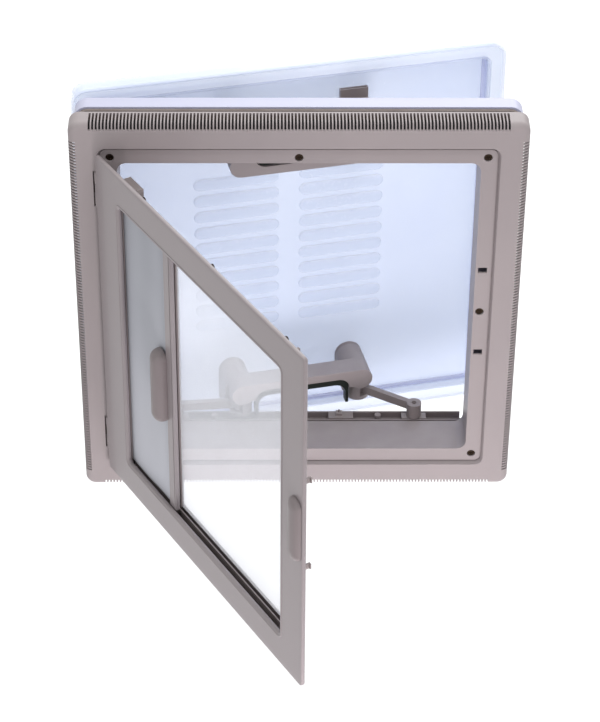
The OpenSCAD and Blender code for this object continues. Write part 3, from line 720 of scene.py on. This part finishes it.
def cloth(name, node, slot, x0, x1, half, y, waves, bow, held_at_start):
    """Thin sheet between two bars: x and z run straight, and y follows shallow waves that die
    out at both bars, on a slight bow."""
    u = np.linspace(0, 1, 90)[:, None]
    v = np.linspace(-1, 1, 120)[None, :]
    x = x0 + (x1 - x0) * u + 0 * v
    z = half * v + 0 * u
    die = np.sin(u * math.pi) ** 0.6
    ripple = waves * die * (np.sin(3.1 * v + 5 * u) + 0.6 * np.sin(7.3 * v - 4 * u + 1.0))
    edge = waves * 0.8 * die * np.exp(-(((1 - np.abs(v)) / 0.05) ** 2))
    grid = np.stack([x, y + bow * die + ripple + edge, z], -1)
    uv = np.stack([x - x0, z + half], -1)
    piece = surface(name, on_door(grid), None, slot, [node], uv=uv, closed=False)
    modified(piece, "SOLIDIFY", thickness=0.00028, offset=0.0)
    ends = [on_door(np.array([edge_x, y, 0.0])) for edge_x in (x0, x1)]
    if not held_at_start:
        ends.reverse()
    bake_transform(piece)


def wound_cloth():
    """Cloth wound on the blind's roller: a flat spiral carried along the roller."""
    low, high = door_box("blind_roller")
    turns, core, layer, mean_r, margin = 4, 0.0072, 0.00032, 0.0075, 0.006
    a = np.linspace(0, 2 * math.pi * turns, 193)
    r = core + layer * a / (2 * math.pi)
    middle = (low + high) / 2
    z = np.linspace(low[2] + margin, high[2] - margin, 3)
    x = middle[0] + r * np.cos(a)
    y = middle[1] + r * np.sin(a)
    shape = (len(a), len(z))
    grid = np.stack([np.broadcast_to(x[:, None], shape), np.broadcast_to(y[:, None], shape),
                     np.broadcast_to(z[None, :], shape)], -1)
    uv = np.stack([np.broadcast_to((a * mean_r)[:, None], shape), grid[..., 2]], -1)
    piece = surface("blind_roll", on_door(grid), "blind_roller", "blind_cloth", uv=uv,
                    closed=False)
    modified(piece, "SOLIDIFY", thickness=0.0002, offset=0.0)


def coil(name, node, body, slot, turns, wire, sides=8):
    """Wire wound into a helix along Z, closed at both ends."""
    low, high = door_box(node)
    middle, radius = (low + high) / 2, (high[0] - low[0]) / 2 - wire
    a = np.linspace(0, 2 * math.pi * turns, int(turns * 16))
    z = np.linspace(low[2] + wire, high[2] - wire, len(a))
    path = np.stack([middle[0] + radius * np.cos(a), middle[1] + radius * np.sin(a), z], -1)
    surface(name, on_door(tube(path, wire, sides)), body, slot, [node], wrap=(False, True))


TUCK = 0.001  # how far a cloth reaches into its bar
blind_low, blind_high = door_box("blind_fabric")
screen_low, screen_high = door_box("flyscreen")
cloth("blind_sheet", "blind_fabric", "blind_cloth", blind_low[0], blind_high[0] + TUCK,
      blind_high[2], (blind_low[1] + blind_high[1]) / 2, waves=0.0004, bow=0.0,
      held_at_start=True)
cloth("screen_sheet", "flyscreen", "mesh", screen_low[0] - TUCK, screen_high[0],
      screen_high[2], (screen_low[1] + screen_high[1]) / 2, waves=0.00015, bow=0.0005,
      held_at_start=False)
wound_cloth()
coil("roller_coil", "roller_spring", "blind_roller", "steel", 60, 0.0005)
coil("latch_coil", "latch_spring", "door", "steel", 16, 0.0003)

# ---- Camera, floor and light ----


def camera():
    """Stands in the room, above the frame, and looks down on it with a long lens."""
    data = bpy.data.cameras.new("camera")
    data.lens = 123.83
    data.shift_y = -0.0997
    data.clip_end = 50
    eye = bpy.data.objects.new("camera", data)
    eye.matrix_world = (
        Matrix.Translation((-0.0281, -2.0868, 1.4988))
        @ Matrix.Rotation(math.radians(-0.822), 4, "Z")
        @ Matrix.Rotation(math.radians(90 - 35.108), 4, "X")
        @ Matrix.Rotation(math.radians(0.461), 4, "Z")
    )
    bpy.context.scene.collection.objects.link(eye)
    bpy.context.scene.camera = eye


def floor():
    """Plain plate 0.55 m under the frame."""
    mesh = bpy.data.meshes.new("floor")
    ground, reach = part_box("inner_frame")[0][2] - 0.55, 6
    corners = [(x * reach, y * reach, ground) for x, y in ((-1, -1), (1, -1), (1, 1), (-1, 1))]
    mesh.from_pydata(corners, [], [(0, 1, 2, 3)])
    plate = bpy.data.objects.new("floor", mesh)
    material, _, shader, _ = blank("floor")
    shader.inputs["Base Color"].default_value = (0.97, 0.97, 0.97, 1)
    shader.inputs["Roughness"].default_value = 0.9
    mesh.materials.append(material)
    bpy.context.scene.collection.objects.link(plate)


def lamp(name, place, aim, size, power, colour=(1, 1, 1), mirrored=True):
    """Round soft lamp that looks at aim. mirrored is whether glossy faces show it."""
    data = bpy.data.lights.new(name, "AREA")
    data.shape, data.size, data.energy, data.color = "DISK", size, power, colour
    light = bpy.data.objects.new(name, data)
    light.location = place
    light.rotation_euler = (Vector(aim) - Vector(place)).to_track_quat("-Z", "Y").to_euler()
    light.visible_glossy = mirrored
    light.visible_camera = False
    bpy.context.scene.collection.objects.link(light)


def sky():
    """White all round; brighter where it is seen than where it lights."""
    world = bpy.data.worlds.new("studio")
    bpy.context.scene.world = world
    world.use_nodes = True
    tree = world.node_tree
    path = put(tree, "LightPath")
    seen = sums(tree, "MULTIPLY_ADD", path.outputs["Is Camera Ray"], 0.4)
    seen.node.inputs[2].default_value = 0.67
    backdrop = tree.nodes["Background"]
    backdrop.inputs["Color"].default_value = (1, 1, 1, 1)
    tree.links.new(seen, backdrop.inputs["Strength"])


camera()
floor()
sky()
lamp("key", (-1.3, -2.4, 0.3), (0, 0, 0), 1.4, 5)
lamp("low fill", (0.15, -0.7, -0.6), (0.03, 0, -0.1), 0.4, 5.0, (1.0, 0.95, 0.96), False)
lamp("top", (0.25, -0.5, 1.5), (0, 0, -0.1), 0.6, 8.5, (1.0, 0.99, 1.0), False)
lamp("back", (0.6, 2.2, 0.9), (0, 0, 0), 1.6, 14, (0.94, 0.97, 1.0))
lamp("floor wash", (0.1, 1.6, 1.4), (0.1, 1.6, -0.8), 2.2, 26, (1, 1, 1), False)
bpy.context.scene.view_settings.view_transform = "Standard"
